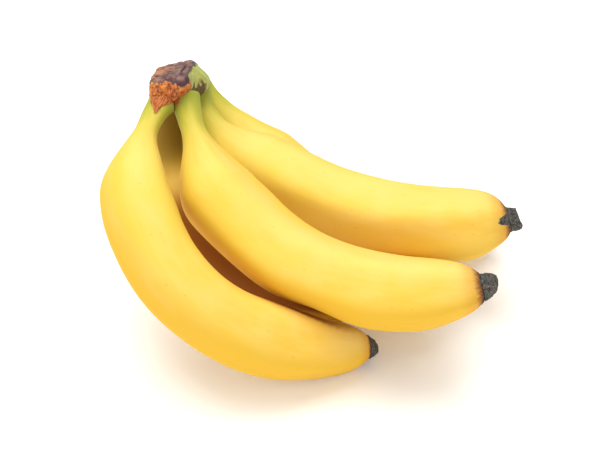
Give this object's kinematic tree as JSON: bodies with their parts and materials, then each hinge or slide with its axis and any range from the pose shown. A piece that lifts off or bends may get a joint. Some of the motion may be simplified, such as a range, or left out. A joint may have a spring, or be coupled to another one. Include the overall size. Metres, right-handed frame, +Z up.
{
  "type": "bunch of bananas",
  "caption": "Bunch of ripe yellow bananas joined at a brown cut crown, lying on their curved backs, with dark dried tips.",
  "frame": {"origin": "on the table under the middle of the bunch's bounding box", "axes": "+Z up, +X towards the tips, -Y towards the side where the lowest front banana lies"},
  "size_m": [0.1994, 0.1787, 0.1098],
  "materials": {
    "peel": "smooth satin fruit peel, green at the neck, warm yellow on the body",
    "crown": "dry corky cut, rough",
    "dry_tip": "dry withered flower end, rough"
  },
  "bodies": {
    "root": {"crown": "crown", "banana_front": "peel", "banana_middle": "peel", "banana_back": "peel", "banana_far": "peel", "banana_under": "peel", "tip_front": "dry_tip", "tip_middle": "dry_tip", "tip_back": "dry_tip", "tip_far": "dry_tip", "tip_under": "dry_tip"}
  },
  "joints": []
}
